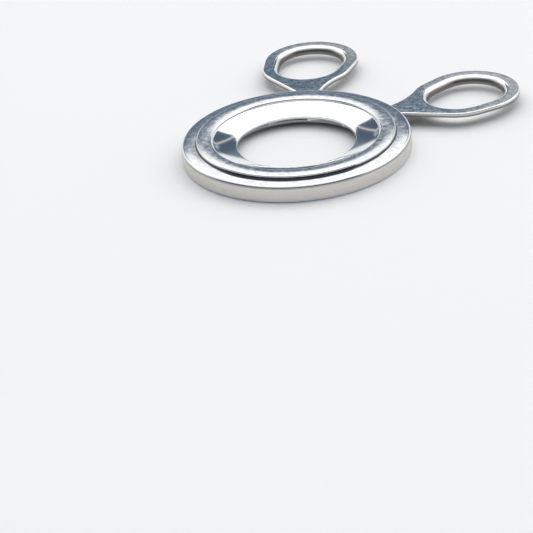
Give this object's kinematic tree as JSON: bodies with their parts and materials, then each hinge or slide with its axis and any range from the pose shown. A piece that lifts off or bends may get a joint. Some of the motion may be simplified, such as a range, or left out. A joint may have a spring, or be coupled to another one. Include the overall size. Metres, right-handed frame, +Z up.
{
  "type": "egg topper",
  "caption": "Scissor-type stainless egg topper: flat drum with a stepped ring and a dished egg opening, finger-loop handles and a cam ring that drives claws into the shell.",
  "frame": {"origin": "centre of the drum's rest face, on the axis of the egg opening, where the foot meets the table", "axes": "+Z up along the egg opening's axis, out of the dish; +Y midway between the two handles; +X to the side of the fixed handle"},
  "size_m": [0.088, 0.1006, 0.0066],
  "materials": {
    "polished_steel": "polished, with lapped flats on both rings",
    "satin_steel": "satin flats with polished edges",
    "mill_steel": "plain rolled sheet",
    "rivet_steel": "bright turned",
    "claw_steel": "ground, sharp tips"
  },
  "bodies": {
    "body": {"cap": "polished_steel", "fixed_handle": "satin_steel", "base_plate": "mill_steel", "spacer_ring": "mill_steel", "rivet_1": "rivet_steel", "rivet_2": "rivet_steel", "rivet_3": "rivet_steel", "rivet_4": "rivet_steel", "rivet_5": "rivet_steel", "rivet_6": "rivet_steel", "rivet_7": "rivet_steel", "rivet_8": "rivet_steel", "rivet_9": "rivet_steel", "rivet_10": "rivet_steel"},
    "handle": {"drive_ring": "satin_steel"},
    "claw_1": {"claw_1": "claw_steel", "claw_pin_1": "rivet_steel"},
    "claw_2": {"claw_2": "claw_steel", "claw_pin_2": "rivet_steel"},
    "claw_3": {"claw_3": "claw_steel", "claw_pin_3": "rivet_steel"},
    "claw_4": {"claw_4": "claw_steel", "claw_pin_4": "rivet_steel"},
    "claw_5": {"claw_5": "claw_steel", "claw_pin_5": "rivet_steel"},
    "claw_6": {"claw_6": "claw_steel", "claw_pin_6": "rivet_steel"},
    "claw_7": {"claw_7": "claw_steel", "claw_pin_7": "rivet_steel"},
    "claw_8": {"claw_8": "claw_steel", "claw_pin_8": "rivet_steel"},
    "claw_9": {"claw_9": "claw_steel", "claw_pin_9": "rivet_steel"},
    "claw_10": {"claw_10": "claw_steel", "claw_pin_10": "rivet_steel"}
  },
  "joints": [
    {"name": "handle_squeeze", "type": "hinge", "parent": "body", "child": "handle", "pos_m": [0, 0, 0.00387], "axis": [0, 0, -1], "range_deg": [0, 28]},
    {"name": "claw_1_swing", "type": "hinge", "parent": "body", "child": "claw_1", "pos_m": [0.0292, 0, 0.0021], "axis": [0, 0, 1], "range_deg": [0, 16]},
    {"name": "claw_2_swing", "type": "hinge", "parent": "body", "child": "claw_2", "pos_m": [0.02362, 0.01716, 0.0021], "axis": [0, 0, 1], "range_deg": [0, 16]},
    {"name": "claw_3_swing", "type": "hinge", "parent": "body", "child": "claw_3", "pos_m": [0.00902, 0.02777, 0.0021], "axis": [0, 0, 1], "range_deg": [0, 16]},
    {"name": "claw_4_swing", "type": "hinge", "parent": "body", "child": "claw_4", "pos_m": [-0.00902, 0.02777, 0.0021], "axis": [0, 0, 1], "range_deg": [0, 16]},
    {"name": "claw_5_swing", "type": "hinge", "parent": "body", "child": "claw_5", "pos_m": [-0.02362, 0.01716, 0.0021], "axis": [0, 0, 1], "range_deg": [0, 16]},
    {"name": "claw_6_swing", "type": "hinge", "parent": "body", "child": "claw_6", "pos_m": [-0.0292, 0, 0.0021], "axis": [0, 0, 1], "range_deg": [0, 16]},
    {"name": "claw_7_swing", "type": "hinge", "parent": "body", "child": "claw_7", "pos_m": [-0.02362, -0.01716, 0.0021], "axis": [0, 0, 1], "range_deg": [0, 16]},
    {"name": "claw_8_swing", "type": "hinge", "parent": "body", "child": "claw_8", "pos_m": [-0.00902, -0.02777, 0.0021], "axis": [0, 0, 1], "range_deg": [0, 16]},
    {"name": "claw_9_swing", "type": "hinge", "parent": "body", "child": "claw_9", "pos_m": [0.00902, -0.02777, 0.0021], "axis": [0, 0, 1], "range_deg": [0, 16]},
    {"name": "claw_10_swing", "type": "hinge", "parent": "body", "child": "claw_10", "pos_m": [0.02362, -0.01716, 0.0021], "axis": [0, 0, 1], "range_deg": [0, 16]}
  ],
  "couplings": [
    {"joint": "claw_1_swing", "follows": "handle_squeeze", "ratio": 0.57143},
    {"joint": "claw_2_swing", "follows": "handle_squeeze", "ratio": 0.57143},
    {"joint": "claw_3_swing", "follows": "handle_squeeze", "ratio": 0.57143},
    {"joint": "claw_4_swing", "follows": "handle_squeeze", "ratio": 0.57143},
    {"joint": "claw_5_swing", "follows": "handle_squeeze", "ratio": 0.57143},
    {"joint": "claw_6_swing", "follows": "handle_squeeze", "ratio": 0.57143},
    {"joint": "claw_7_swing", "follows": "handle_squeeze", "ratio": 0.57143},
    {"joint": "claw_8_swing", "follows": "handle_squeeze", "ratio": 0.57143},
    {"joint": "claw_9_swing", "follows": "handle_squeeze", "ratio": 0.57143},
    {"joint": "claw_10_swing", "follows": "handle_squeeze", "ratio": 0.57143}
  ]
}
